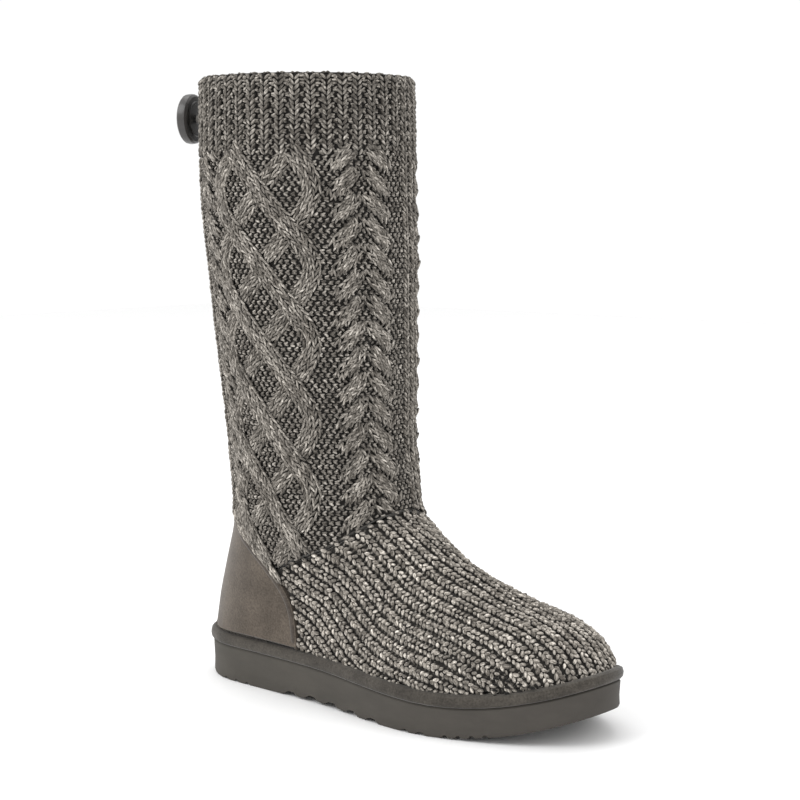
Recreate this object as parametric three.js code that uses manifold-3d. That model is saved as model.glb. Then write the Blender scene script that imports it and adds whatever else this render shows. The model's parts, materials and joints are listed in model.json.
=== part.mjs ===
// A tall knitted sweater boot for the right foot, standing empty on a thick cushioned sole.
// Millimetres: x runs from the heel to the toe, y towards the inner side of the foot, z up.
import * as THREE from 'three';
import { mergeVertices } from 'three/addons/utils/BufferGeometryUtils.js';
import Module from 'manifold-3d';

const wasm = await Module();
wasm.setup();

// Sole
const footLength = 272;
const heelWidth = 77.2;
const waistWidth = 78.6;
const ballWidth = 101.4;
const toeWidth = 93.3;
const heelRound = 40;
const toeRound = 73.4;
const heelThickness = 20.6;
const waistThickness = 20;
const ballThickness = 16.6;
const toeThickness = 14.5;
const toeSpring = 16.7;
const springLength = 82;
const archRise = 1.4;
const grooveDepth = 2.2;

// Welt, insole and the ledge that the welt makes around the upper
const weltHeight = 7;
const weltBulge = 1.6;
const ledge = 3.5;
const insoleThickness = 6;

// Upper
const bootHeight = 346;
const shaftDepth = 122.5;
const shaftWidth = 116.5;
const instepHeight = 106;
const heelHeight = 98;
const wall = 3;
const hemRound = 1.2;
const counterProud = 0.6;

// Button and the thread shank that holds it off the cuff
const buttonDiameter = 29;
const buttonThickness = 6.2;
const buttonRing = 0.5;
const buttonDrop = 21.2;
const buttonTurn = -160;
const shankDiameter = 5;
const shankLength = 8;

// Clearance between pieces that meet
const gap = 0.3;

// Plan of the sole: half widths towards the little toe (outer) and the big toe (inner)
const planStations = [
  { along: 0.00, of: heelWidth, outer: 0.480, inner: 0.490 },
  { along: 0.14, of: heelWidth, outer: 0.495, inner: 0.505 },
  { along: 0.38, of: waistWidth, outer: 0.542, inner: 0.458 },
  { along: 0.66, of: ballWidth, outer: 0.520, inner: 0.480 },
  { along: 0.82, of: toeWidth, outer: 0.478, inner: 0.522 },
  { along: 1.00, of: toeWidth, outer: 0.382, inner: 0.444 },
];

const thicknessStations = [
  { along: 0.00, thickness: heelThickness },
  { along: 0.35, thickness: waistThickness },
  { along: 0.68, thickness: ballThickness },
  { along: 1.00, thickness: toeThickness },
];

// Tread grooves across the sole: small at the heel, wide waves under the arch, small at the ball
const treadGroups = [
  { first: 0.110, pitch: 0.034, count: 3, width: 0.015, depth: 0.60 },
  { first: 0.312, pitch: 0.063, count: 5, width: 0.042, depth: 1.00 },
  { first: 0.655, pitch: 0.037, count: 2, width: 0.022, depth: 0.70 },
  { first: 0.745, pitch: 0.026, count: 4, width: 0.013, depth: 0.75 },
];

// Outsole side: offset outwards in mm at each share of its thickness
const soleSide = [
  { share: 0.00, out: -1.0 },
  { share: 0.10, out: -0.3 },
  { share: 0.45, out: -0.5 },
  { share: 0.94, out: 0.0 },
  { share: 1.00, out: -0.8 },
];

// Section of the wrapped welt: offset from the sole's edge, height as a share of weltHeight
const weltSection = [
  { out: -ledge + gap, share: 0.00 },
  { out: 0.1, share: 0.00 },
  { out: weltBulge * 0.75, share: 0.13 },
  { out: weltBulge, share: 0.45 },
  { out: weltBulge * 0.60, share: 0.80 },
  { out: -0.8, share: 0.98 },
  { out: -ledge + gap, share: 1.00 },
];

// Level sections of the shaft: height of bootHeight, centre of footLength, axes of the named sizes
const shaftRows = [
  { height: 1.000, centre: 0.2320, depth: 1.000, width: 1.000 },
  { height: 0.884, centre: 0.2331, depth: 1.008, width: 1.009 },
  { height: 0.794, centre: 0.2371, depth: 1.003, width: 1.003 },
  { height: 0.702, centre: 0.2474, depth: 0.980, width: 0.980 },
  { height: 0.610, centre: 0.2537, depth: 0.950, width: 0.950 },
  { height: 0.517, centre: 0.2629, depth: 0.925, width: 0.915 },
  { height: 0.424, centre: 0.2695, depth: 0.893, width: 0.875 },
  { height: 0.355, centre: 0.2790, depth: 0.905, width: 0.860 },
];

// Sections that turn about the ankle and run out along the foot, each between a point on the
// ridge (front) and a point at the back or under the foot (back). Front x and back x are shares
// of footLength, front z of instepHeight, back z of heelHeight. Widest is the share of the way
// back, fullness the half width as a share of the last's half width there.
const footRows = [
  { frontX: 0.4945, frontZ: 1.020, backX: 0.0820, backZ: 1.080, widest: 0.50, fullness: 1.37, crown: 2.0, base: 2.0 },
  { frontX: 0.5000, frontZ: 0.985, backX: 0.0780, backZ: 0.950, widest: 0.50, fullness: 1.35, crown: 2.0, base: 2.0 },
  { frontX: 0.5160, frontZ: 0.955, backX: 0.0570, backZ: 0.780, widest: 0.50, fullness: 1.31, crown: 2.1, base: 2.0 },
  { frontX: 0.5410, frontZ: 0.912, backX: 0.0330, backZ: 0.610, widest: 0.51, fullness: 1.26, crown: 2.2, base: 2.0 },
  { frontX: 0.5720, frontZ: 0.870, backX: 0.0165, backZ: 0.450, widest: 0.53, fullness: 1.21, crown: 2.2, base: 2.1 },
  { frontX: 0.6020, frontZ: 0.828, backX: 0.0105, backZ: 0.290, widest: 0.56, fullness: 1.17, crown: 2.2, base: 2.3 },
  { frontX: 0.6340, frontZ: 0.786, backX: 0.0080, backZ: 0.100, widest: 0.62, fullness: 1.14, crown: 2.2, base: 2.7 },
  { frontX: 0.6690, frontZ: 0.746, backX: 0.1740, backZ: 0.020, widest: 0.70, fullness: 1.10, crown: 2.2, base: 3.2 },
  { frontX: 0.7130, frontZ: 0.700, backX: 0.3490, backZ: 0.020, widest: 0.76, fullness: 1.07, crown: 2.2, base: 3.6 },
  { frontX: 0.7610, frontZ: 0.650, backX: 0.4960, backZ: 0.020, widest: 0.76, fullness: 1.05, crown: 2.2, base: 4.0 },
  { frontX: 0.8090, frontZ: 0.608, backX: 0.6250, backZ: 0.020, widest: 0.74, fullness: 1.03, crown: 2.2, base: 4.0 },
  { frontX: 0.8570, frontZ: 0.577, backX: 0.7350, backZ: 0.020, widest: 0.72, fullness: 1.02, crown: 2.3, base: 4.0 },
  { frontX: 0.9050, frontZ: 0.533, backX: 0.8160, backZ: 0.020, widest: 0.70, fullness: 1.02, crown: 2.3, base: 4.0 },
  { frontX: 0.9470, frontZ: 0.465, backX: 0.8820, backZ: 0.020, widest: 0.66, fullness: 1.03, crown: 2.3, base: 4.0 },
  { frontX: 0.9750, frontZ: 0.382, backX: 0.9300, backZ: 0.020, widest: 0.62, fullness: 1.04, crown: 2.3, base: 4.0 },
  { frontX: 0.9950, frontZ: 0.280, backX: 0.9700, backZ: 0.020, widest: 0.60, fullness: 1.05, crown: 2.2, base: 4.0 },
];

// Seam between vamp and shaft seen from the side, from the ankle back to the counter
const seamLine = [
  { x: 0.548, z: 1.220 },
  { x: 0.498, z: 1.005 },
  { x: 0.478, z: 0.946 },
  { x: 0.450, z: 0.884 },
  { x: 0.415, z: 0.825 },
  { x: 0.349, z: 0.752 },
  { x: 0.298, z: 0.696 },
  { x: 0.240, z: 0.640 },
  { x: 0.185, z: 0.590 },
];

// Edge of the heel counter seen from the side, from above the heel down to the sole
const counterLine = [
  { x: -0.100, z: 1.010 },
  { x: 0.132, z: 1.005 },
  { x: 0.156, z: 0.985 },
  { x: 0.184, z: 0.930 },
  { x: 0.216, z: 0.876 },
  { x: 0.244, z: 0.825 },
  { x: 0.267, z: 0.762 },
  { x: 0.290, z: 0.698 },
  { x: 0.310, z: 0.622 },
  { x: 0.323, z: 0.545 },
  { x: 0.330, z: 0.455 },
  { x: 0.335, z: 0.365 },
  { x: 0.337, z: 0.250 },
  { x: 0.339, z: -0.200 },
];

// Button profile: radius as a share of its own, height as a share of its thickness
const buttonProfile = [
  { radius: 0.00, height: 0.00 },
  { radius: 0.58, height: 0.00 },
  { radius: 0.61, height: -buttonRing / buttonThickness },
  { radius: 0.68, height: -buttonRing / buttonThickness },
  { radius: 0.71, height: 0.00 },
  { radius: 0.90, height: 0.00 },
  { radius: 0.98, height: 0.18 },
  { radius: 1.00, height: 0.50 },
  { radius: 0.98, height: 0.86 },
  { radius: 0.92, height: 1.00 },
  { radius: 0.82, height: 0.97 },
  { radius: 0.72, height: 0.76 },
  { radius: 0.00, height: 0.76 },
];

const sidePoints = 20;
const planPoints = 36;
const buttonSides = 28;

const clamp = (value) => Math.min(1, Math.max(0, value));

// Monotone curve through the (at, value) pairs of a table's column
function curveThrough(ats, values) {
  const last = ats.length - 1;
  const steps = values.slice(1).map((value, i) => (value - values[i]) / (ats[i + 1] - ats[i]));
  const slopes = values.map((_, i) => {
    if (i === 0) return steps[0];
    if (i === last) return steps[last - 1];
    const product = steps[i - 1] * steps[i];
    return product <= 0 ? 0 : 2 * product / (steps[i - 1] + steps[i]);
  });
  return (at) => {
    const place = Math.min(Math.max(at, ats[0]), ats[last]);
    let i = 0;
    while (i < last - 1 && place > ats[i + 1]) i += 1;
    const span = ats[i + 1] - ats[i];
    const t = (place - ats[i]) / span;
    const rise = t * t * (3 - 2 * t);
    const start = t * (1 - t) * (1 - t) * slopes[i];
    const end = t * t * (t - 1) * slopes[i + 1];
    return values[i] + (values[i + 1] - values[i]) * rise + span * (start + end);
  };
}

const column = (rows, at, value) => curveThrough(rows.map((row) => row[at]), rows.map(value));
const outerHalf = column(planStations, 'along', (row) => row.of * row.outer);
const innerHalf = column(planStations, 'along', (row) => row.of * row.inner);
const thicknessAt = column(thicknessStations, 'along', (row) => row.thickness);

// Rounding of the plan at heel and toe, as a share of the half width
function tipShare(x) {
  const heel = 1 - clamp(x / heelRound);
  const toe = 1 - clamp((footLength - x) / toeRound);
  return (1 - heel ** 2.2) ** (1 / 2.2) * (1 - toe ** 2.3) ** (1 / 2.3);
}

const halfWidth = (x, side) => tipShare(x) * (side > 0 ? innerHalf : outerHalf)(x / footLength);
const spring = (x) => toeSpring * clamp((x - footLength + springLength) / springLength) ** 2;
const arch = (x) => archRise * Math.sin(Math.PI * clamp((x / footLength - 0.22) / 0.36)) ** 2;
const soleUnder = (x) => spring(x) + arch(x);
const soleTop = (x) => spring(x) + thicknessAt(x / footLength);

// Points of the plan from the toe along the inner side to the heel and back along the outer
function planRing(out) {
  const edge = [];
  for (let i = 0; i < 2 * planPoints; i += 1) {
    const x = footLength / 2 * (1 + Math.cos(Math.PI * i / planPoints));
    const side = i < planPoints ? 1 : -1;
    edge.push(new THREE.Vector2(x, side * halfWidth(x, side)));
  }
  return edge.map((point, i) => {
    const before = edge[(i + edge.length - 1) % edge.length];
    const after = edge[(i + 1) % edge.length];
    const along = after.clone().sub(before).normalize();
    return new THREE.Vector2(point.x + out * along.y, point.y - out * along.x);
  });
}

function geometryOf(points, faces) {
  const geometry = new THREE.BufferGeometry();
  geometry.setAttribute('position', new THREE.Float32BufferAttribute(points.flatMap((p) => [p.x, p.y, p.z]), 3));
  geometry.setIndex(faces);
  return geometry;
}

// Closed solid over a stack of rings, each ring counter-clockwise seen from the last one
function loft(rings) {
  const size = rings[0].length;
  const half = size / 2;
  const top = (rings.length - 1) * size;
  const faces = [];
  for (let k = 0; k < rings.length - 1; k += 1) {
    for (let i = 0; i < size; i += 1) {
      const a = k * size + i;
      const b = k * size + (i + 1) % size;
      faces.push(a, b, b + size, a, b + size, a + size);
    }
  }
  for (let i = 0; i < half; i += 1) {
    const near = [i, i + 1];
    const far = [size - i - 1, (size - i) % size];
    if (i < half - 1) {
      faces.push(top + near[0], top + near[1], top + far[0]);
      faces.push(far[0], near[1], near[0]);
    }
    if (i > 0) {
      faces.push(top + near[0], top + far[0], top + far[1]);
      faces.push(far[1], far[0], near[0]);
    }
  }
  return geometryOf(rings.flat(), faces);
}

// Closed band around the plan with the section given as (out, height over the sole) points
function planBand(section, lift = gap) {
  const rings = section.map((point) => planRing(point.out).map(
    (p) => new THREE.Vector3(p.x, p.y, soleTop(p.x) + lift + point.height),
  ));
  const size = rings[0].length;
  const faces = [];
  rings.forEach((ring, k) => {
    const next = (k + 1) % rings.length;
    for (let i = 0; i < size; i += 1) {
      const j = (i + 1) % size;
      faces.push(k * size + i, k * size + j, next * size + j);
      faces.push(k * size + i, next * size + j, next * size + i);
    }
  });
  return geometryOf(rings.flat(), faces);
}

// Prism across the whole width over an outline drawn in the side view
function sidePrism(outline) {
  const reach = 2 * ballWidth;
  const shape = new THREE.Shape(outline.map((p) => new THREE.Vector2(p.x, p.z)));
  const geometry = new THREE.ExtrudeGeometry(shape, { depth: reach, bevelEnabled: false });
  return geometry.rotateX(Math.PI / 2).translate(0, reach / 2, 0);
}

function solid(geometry) {
  const bare = geometry.clone();
  bare.deleteAttribute('normal');
  bare.deleteAttribute('uv');
  const merged = mergeVertices(bare, 1e-4);
  return new wasm.Manifold(new wasm.Mesh({
    numProp: 3,
    vertProperties: new Float32Array(merged.attributes.position.array),
    triVerts: new Uint32Array(merged.index.array),
  }));
}

function surface(body) {
  const mesh = body.getMesh();
  const geometry = new THREE.BufferGeometry();
  geometry.setAttribute('position', new THREE.BufferAttribute(new Float32Array(mesh.vertProperties), 3));
  geometry.setIndex(new THREE.BufferAttribute(new Uint32Array(mesh.triVerts), 1));
  geometry.computeVertexNormals();
  return geometry;
}

function piece(name, geometry, colour, roughness) {
  const material = new THREE.MeshStandardMaterial({ color: colour, roughness, metalness: 0 });
  const mesh = new THREE.Mesh(geometry, material);
  mesh.name = name;
  return mesh;
}

// Sections of the upper from the toe up to the collar, as named lengths in millimetres
function upperSections() {
  const foot = footRows.map((row) => {
    const front = new THREE.Vector2(row.frontX * footLength, row.frontZ * instepHeight);
    const back = new THREE.Vector2(row.backX * footLength, row.backZ * heelHeight);
    const x = front.x + (back.x - front.x) * row.widest;
    const inner = row.fullness * (halfWidth(x, 1) - ledge);
    const outer = row.fullness * (halfWidth(x, -1) - ledge);
    return { ...row, front, back, inner, outer };
  });
  const shaft = shaftRows.map((row) => {
    const z = row.height * (bootHeight - hemRound);
    const centre = row.centre * footLength;
    const reach = row.depth * shaftDepth / 2;
    const half = row.width * shaftWidth / 2;
    return {
      front: new THREE.Vector2(centre + reach, z),
      back: new THREE.Vector2(centre - reach, z),
      widest: 0.5, inner: half, outer: half, crown: 2, base: 2,
    };
  });
  return [...foot.reverse(), ...shaft.reverse()];
}

// Rings of the upper's outer surface, worked out between the sections
function upperRings() {
  const sections = upperSections();
  const ats = sections.map((_, i) => i);
  const smooth = (value) => curveThrough(ats, sections.map(value));
  const frontX = smooth((s) => s.front.x);
  const frontZ = smooth((s) => s.front.y);
  const backX = smooth((s) => s.back.x);
  const backZ = smooth((s) => s.back.y);
  const widest = smooth((s) => s.widest);
  const inner = smooth((s) => s.inner);
  const outer = smooth((s) => s.outer);
  const crown = smooth((s) => s.crown);
  const base = smooth((s) => s.base);
  const places = sections.slice(1).flatMap((_, i) => [i, i + 0.5]);
  places.push(sections.length - 1);
  return places.map((at) => {
    const ring = [];
    for (let i = 0; i < 2 * sidePoints; i += 1) {
      const turn = Math.PI * i / sidePoints;
      const ahead = Math.cos(turn) >= 0;
      const power = 2 / (ahead ? crown(at) : base(at));
      const reach = Math.abs(Math.cos(turn)) ** power;
      const across = Math.abs(Math.sin(turn)) ** power * (i < sidePoints ? inner(at) : -outer(at));
      const share = ahead ? widest(at) * (1 - reach) : widest(at) + (1 - widest(at)) * reach;
      const x = frontX(at) + (backX(at) - frontX(at)) * share;
      const z = frontZ(at) + (backZ(at) - frontZ(at)) * share;
      ring.push(new THREE.Vector3(x, across, z));
    }
    return ring;
  });
}

// The same rings moved outwards along the surface's own normals
function grownRings(rings, out) {
  const last = rings.length - 1;
  return rings.map((ring, k) => ring.map((point, i) => {
    const before = ring[(i + ring.length - 1) % ring.length];
    const after = ring[(i + 1) % ring.length];
    const around = after.clone().sub(before);
    const up = rings[Math.min(k + 1, last)][i].clone().sub(rings[Math.max(k - 1, 0)][i]);
    return point.clone().addScaledVector(around.cross(up).normalize(), out);
  }));
}

// Solid inside the upper's outer surface grown by a distance, trimmed along the welt's ledge
function upperForm(rings, out, rimOut, rimHeight) {
  const grown = grownRings(rings, out);
  const rim = grownRings(rings, rimOut).at(-1);
  grown.push(rim.map((p) => new THREE.Vector3(p.x, p.y, bootHeight + rimHeight)));
  const trim = Math.min(out, 0) - ledge;
  const outside = planBand([
    { out: trim, height: -bootHeight },
    { out: 2 * ballWidth, height: -bootHeight },
    { out: 2 * ballWidth, height: weltHeight + ballWidth },
    { out: trim, height: weltHeight },
  ]);
  return solid(loft(grown)).subtract(solid(outside));
}

const shares = (line, height) => line.map((p) => ({ x: p.x * footLength, z: p.z * height }));

// Thin wall along a line drawn in the side view, as thick as the gap between pieces
function slit(line) {
  const sides = [0.5, -0.5].map((share) => line.map((p, i) => {
    const before = line[Math.max(i - 1, 0)];
    const after = line[Math.min(i + 1, line.length - 1)];
    const length = Math.hypot(after.x - before.x, after.z - before.z);
    return {
      x: p.x - share * gap * (after.z - before.z) / length,
      z: p.z + share * gap * (after.x - before.x) / length,
    };
  }));
  return solid(sidePrism([...sides[0], ...sides[1].reverse()]));
}

// Everything lower than the top of the sole and its clearance
function underSole() {
  const top = [];
  const reach = 0.25 * footLength;
  for (let i = 0; i <= planPoints; i += 1) {
    const x = footLength / 2 * (1 - Math.cos(Math.PI * i / planPoints));
    top.push({ x, z: soleTop(x) + gap });
  }
  top.push({ x: footLength + reach, z: soleTop(footLength) + gap });
  top.push({ x: footLength + reach, z: -reach });
  top.push({ x: -reach, z: -reach });
  top.push({ x: -reach, z: soleTop(0) + gap });
  return solid(sidePrism(top));
}

function makeUpper() {
  const rings = upperRings();
  const inside = upperForm(rings, -wall, -wall + hemRound, 2 * hemRound);
  const under = underSole();
  const shell = upperForm(rings, 0, -hemRound, 0).subtract(inside).subtract(under);
  const proud = upperForm(rings, counterProud, counterProud, 0).subtract(inside).subtract(under);
  const seam = shares(seamLine, instepHeight);
  const counter = shares(counterLine, heelHeight);
  const low = -0.2 * heelHeight;
  const ahead = 1.2 * footLength;
  const behind = counter[0].x;
  const vampArea = [...seam, { x: seam.at(-1).x, z: low }, { x: ahead, z: low }, { x: ahead, z: seam[0].z }];
  const counterArea = [...counter, { x: behind, z: counter.at(-1).z }];
  const forVamp = solid(sidePrism(vampArea));
  const forCounter = solid(sidePrism(counterArea));
  const open = shell.subtract(slit(seam)).subtract(slit(counter));
  return {
    vamp: open.intersect(forVamp).subtract(forCounter),
    shaft: open.subtract(forVamp).subtract(forCounter),
    counter: proud.subtract(slit(counter)).intersect(forCounter),
    lining: upperForm(rings, -wall - gap, -wall - gap, 0),
    clear: solid(loft(grownRings(rings, gap))),
  };
}

// Outsole with its rounded edge, slightly hollow side, arch, toe spring and tread grooves
function makeOutsole() {
  const rings = soleSide.map((level) => planRing(level.out).map((p) => new THREE.Vector3(
    p.x, p.y, soleUnder(p.x) + level.share * (soleTop(p.x) - soleUnder(p.x)),
  )));
  let body = solid(loft(rings));
  for (const group of treadGroups) {
    for (let i = 0; i < group.count; i += 1) {
      const x = (group.first + i * group.pitch) * footLength;
      const half = group.width * footLength / 2;
      const floor = soleUnder(x);
      const top = floor + group.depth * grooveDepth;
      body = body.subtract(solid(sidePrism([
        { x: x - half, z: floor - grooveDepth },
        { x: x + half, z: floor - grooveDepth },
        { x: x + half, z: soleUnder(x + half) },
        { x: x + 0.6 * half, z: top },
        { x: x - 0.2 * half, z: top },
        { x: x - half, z: soleUnder(x - half) },
      ])));
    }
  }
  return surface(body);
}

function makeWelt() {
  return planBand(weltSection.map((p) => ({ out: p.out, height: p.share * weltHeight })));
}

// Insole filling the bottom of the foot, trimmed to the inside of the upper
function makeInsole(lining) {
  const edge = -ledge - wall - gap;
  const levels = [
    { out: edge, height: 0 },
    { out: edge, height: 0.8 * insoleThickness },
    { out: edge - 1, height: insoleThickness },
  ];
  const slab = loft(levels.map((level) => planRing(level.out).map(
    (p) => new THREE.Vector3(p.x, p.y, soleTop(p.x) + gap + level.height),
  )));
  return surface(solid(slab).intersect(lining));
}

function makeButton() {
  const profile = buttonProfile.map((p) => new THREE.Vector2(
    p.radius * buttonDiameter / 2, p.height * buttonThickness,
  ));
  return surface(solid(new THREE.LatheGeometry(profile, buttonSides).rotateX(Math.PI / 2)));
}

// Group standing on the cuff's surface, its own z axis pointing straight out of the knit
function buttonSeat() {
  const turn = THREE.MathUtils.degToRad(buttonTurn);
  const collar = shaftRows[0];
  const across = Math.hypot(
    Math.cos(turn) / (collar.depth * shaftDepth / 2),
    Math.sin(turn) / (collar.width * shaftWidth / 2),
  );
  const seat = new THREE.Group();
  seat.position.set(
    collar.centre * footLength + Math.cos(turn) / across,
    Math.sin(turn) / across,
    bootHeight - buttonDrop,
  );
  seat.rotation.set(0, Math.PI / 2, turn, 'ZYX');
  seat.updateMatrixWorld(true);
  return seat;
}

// Thread shank with its foot cut to the curve of the cuff
function makeShank(seat, clear) {
  const length = shankLength + wall;
  const post = new THREE.CylinderGeometry(shankDiameter / 2, shankDiameter / 2, length, 12);
  post.rotateX(Math.PI / 2).translate(0, 0, length / 2 - wall);
  const world = solid(post.clone().applyMatrix4(seat.matrixWorld));
  const cut = surface(world.subtract(clear));
  return cut.applyMatrix4(seat.matrixWorld.clone().invert());
}

const boot = new THREE.Group();
const upper = makeUpper();
boot.add(piece('outsole', makeOutsole(), 0x5f5b54, 0.85));
boot.add(piece('welt_wrap', makeWelt(), 0x58544e, 0.95));
boot.add(piece('insole', makeInsole(upper.lining), 0x8d8981, 1.0));
boot.add(piece('vamp', surface(upper.vamp), 0x8d8a83, 1.0));
boot.add(piece('shaft', surface(upper.shaft), 0x85827b, 1.0));
boot.add(piece('heel_counter', surface(upper.counter), 0x6b6258, 0.95));

const seat = buttonSeat();
const button = piece('button', makeButton(), 0x45423f, 0.5);
button.position.z = shankLength + gap + buttonRing;
seat.add(button);
seat.add(piece('button_shank', makeShank(seat, upper.clear), 0x5a5752, 0.9));
boot.add(seat);

// The origin is on the floor under the middle of the whole boot
boot.updateMatrixWorld(true);
const extent = new THREE.Box3().setFromObject(boot, true);
const middle = extent.getCenter(new THREE.Vector3());
boot.position.set(-middle.x, -middle.y, -extent.min.z);

export default boot;
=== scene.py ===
# Sweater boot: knit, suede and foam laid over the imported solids. Metres, +X to the toe, +Z up the shaft.
import json
import math

import bpy
import numpy as np
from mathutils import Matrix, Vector
from mathutils.bvhtree import BVHTree
from mathutils.kdtree import KDTree

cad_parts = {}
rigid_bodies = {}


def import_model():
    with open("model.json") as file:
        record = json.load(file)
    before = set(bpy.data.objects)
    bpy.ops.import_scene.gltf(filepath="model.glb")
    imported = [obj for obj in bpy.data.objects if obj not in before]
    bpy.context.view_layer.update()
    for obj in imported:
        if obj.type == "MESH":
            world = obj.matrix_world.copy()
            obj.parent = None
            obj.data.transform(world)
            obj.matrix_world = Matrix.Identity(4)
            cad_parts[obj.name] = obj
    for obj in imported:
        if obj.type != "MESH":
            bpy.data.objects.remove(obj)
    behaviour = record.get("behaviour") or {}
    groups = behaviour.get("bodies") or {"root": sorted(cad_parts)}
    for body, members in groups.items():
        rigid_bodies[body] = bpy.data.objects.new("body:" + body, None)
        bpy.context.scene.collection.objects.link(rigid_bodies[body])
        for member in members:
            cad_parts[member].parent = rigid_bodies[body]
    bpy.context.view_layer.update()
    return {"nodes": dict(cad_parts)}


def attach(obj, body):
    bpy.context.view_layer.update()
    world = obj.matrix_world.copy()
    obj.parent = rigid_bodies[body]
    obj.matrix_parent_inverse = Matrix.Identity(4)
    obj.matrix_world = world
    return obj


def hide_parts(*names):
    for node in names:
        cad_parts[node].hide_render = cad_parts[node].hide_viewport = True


for thing in list(bpy.data.objects):
    bpy.data.objects.remove(thing)
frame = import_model()
nodes = frame["nodes"]
mm = 0.001
body = "root"
upperParts = ("shaft", "vamp", "heel_counter")
draw = np.random.default_rng(11)

view = {"place": (0.6433, -0.7646, 0.2762), "target": (0.00168, 0.0, 0.1678), "lens": 81.6, "sensor": 36}


def clearSelection():
    if bpy.context.object and bpy.context.object.mode != "OBJECT":
        endEdit()
    bpy.ops.object.select_all(action="DESELECT")


def pick(piece):
    clearSelection()
    piece.select_set(True)
    bpy.context.view_layer.objects.active = piece


def startEdit(action="SELECT"):
    bpy.ops.object.mode_set(mode="EDIT")
    bpy.ops.mesh.select_all(action=action)


def endEdit():
    bpy.ops.object.mode_set(mode="OBJECT")


def pointsOf(piece):
    return np.array([v.co[:] for v in piece.data.vertices])


def turnTo(place, target):
    return (Vector(target) - Vector(place)).to_track_quat("-Z", "Y").to_euler()


def placeCamera():
    clearSelection()
    bpy.ops.object.camera_add(location=view["place"], rotation=turnTo(view["place"], view["target"]))
    camera = bpy.context.object
    camera.name = "photoCamera"
    camera.data.lens = view["lens"]
    camera.data.sensor_width = view["sensor"]
    bpy.context.scene.camera = camera


placeCamera()
print("camera placed")


# Surface maps
# Both knitted parts are laid out on smooth maps read from the solids by rays.
def treeOf(*names):
    points, faces = [], []
    for name in names:
        mesh = nodes[name].data
        start = len(points)
        points += [v.co.copy() for v in mesh.vertices]
        faces += [[start + i for i in p.vertices] for p in mesh.polygons]
    return BVHTree.FromPolygons(points, faces)


upperTree = treeOf(*upperParts)
partTrees = {name: treeOf(name) for name in (*upperParts, "welt_wrap")}


def rayFrom(tree, origin, aim):
    hit = tree.ray_cast(Vector(origin), Vector(aim))[0]
    return None if hit is None else np.array(hit)


seamSkip = 0.6 * mm  # more than the width of a seam's gap


# Outermost of three hits a little apart, so that no ray slips through a seam's gap
def outerHit(origin, aim, aside):
    hits = []
    for share in (0, -1, 1):
        skip = share * seamSkip * np.array(aside)
        spot, _, _, distance = upperTree.ray_cast(Vector(origin + skip), Vector(aim))
        if spot is not None:
            hits.append((distance, np.array(spot) - skip))
    return min(hits, key=lambda h: h[0])[1] if hits else None


def unit(vectors):
    return vectors / np.maximum(np.linalg.norm(vectors, axis=-1, keepdims=True), 1e-12)


# Smooths a grid along both axes; the first may run round in a circle
def softened(grid, rounds, wraps):
    for _ in range(rounds):
        for axis in (0, 1):
            border = [(1, 1) if k == axis else (0, 0) for k in range(3)]
            padded = np.pad(grid, border, mode="wrap" if wraps and axis == 0 else "edge")
            low, high = (padded.take(range(k, k + grid.shape[axis]), axis) for k in (0, 2))
            grid = (low + 2 * grid + high) / 4
    return grid


def smoothLine(points, rounds):
    points = points.copy()
    for _ in range(rounds):
        points[1:-1] = (points[:-2] + 2 * points[1:-1] + points[2:]) / 4
    return points


def lengthAlong(points):
    return np.concatenate([[0], np.cumsum(np.linalg.norm(np.diff(points, axis=0), axis=1))])


def readAlong(spots, length, values):
    return np.stack([np.interp(spots, length, values[:, k]) for k in range(3)], axis=1)


def readAt(grid, a, b, wraps):
    rows, columns = grid.shape[:2]
    a = np.mod(a, rows) if wraps else np.clip(a, 0, rows - 1.001)
    b = np.clip(b, 0, columns - 1.001)
    i, j = np.floor(a).astype(int), np.floor(b).astype(int)
    u, v = (a - i)[..., None], (b - j)[..., None]
    k = (i + 1) % rows if wraps else i + 1
    low = grid[i, j] * (1 - u) + grid[k, j] * u
    high = grid[i, j + 1] * (1 - u) + grid[k, j + 1] * u
    return low * (1 - v) + high * v


shaftMap = {
    "turns": 180, "levels": 142, "low": 62 * mm, "high": 345 * mm, "rounds": 2,
    "reach": 150 * mm, "ahead": 0.2, "behind": -0.3,  # where the rays start
    "knee": 125 * mm,  # lower levels share this one's middle, so that the foot doesn't pull them
}


def readShaft():
    turns, levels = shaftMap["turns"], shaftMap["levels"]
    heights = np.linspace(shaftMap["low"], shaftMap["high"], levels)
    radius = np.zeros((turns, levels, 1))
    middles = np.zeros(levels)
    for j, z in enumerate(heights):
        level = max(z, shaftMap["knee"])
        front = rayFrom(upperTree, (shaftMap["ahead"], 0, level), (-1, 0, 0))
        back = rayFrom(upperTree, (shaftMap["behind"], 0, level), (1, 0, 0))
        middles[j] = (front[0] + back[0]) / 2
    for i in range(turns):
        turn = 2 * math.pi * i / turns
        aim = np.array((math.cos(turn), math.sin(turn), 0))
        for j, z in enumerate(heights):
            start = np.array((middles[j], 0, z)) + shaftMap["reach"] * aim
            hit = outerHit(start, -aim, (0, 0, 1))
            radius[i, j] = radius[i, j - 1] if hit is None else math.hypot(hit[0] - middles[j], hit[1])
    radius = softened(radius, shaftMap["rounds"], True)
    angle = (2 * math.pi * np.arange(turns) / turns)[:, None, None]
    place = np.concatenate([
        middles[None, :, None] + radius * np.cos(angle),
        radius * np.sin(angle),
        np.broadcast_to(heights[None, :, None], radius.shape),
    ], axis=2)
    across = (np.roll(place, -1, 0) - np.roll(place, 1, 0)) / (4 * math.pi / turns)
    up = np.gradient(place, heights, axis=1)
    return place, across, up, unit(np.cross(across, up))


shaftGrids = readShaft()
print("shaft map read")


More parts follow.
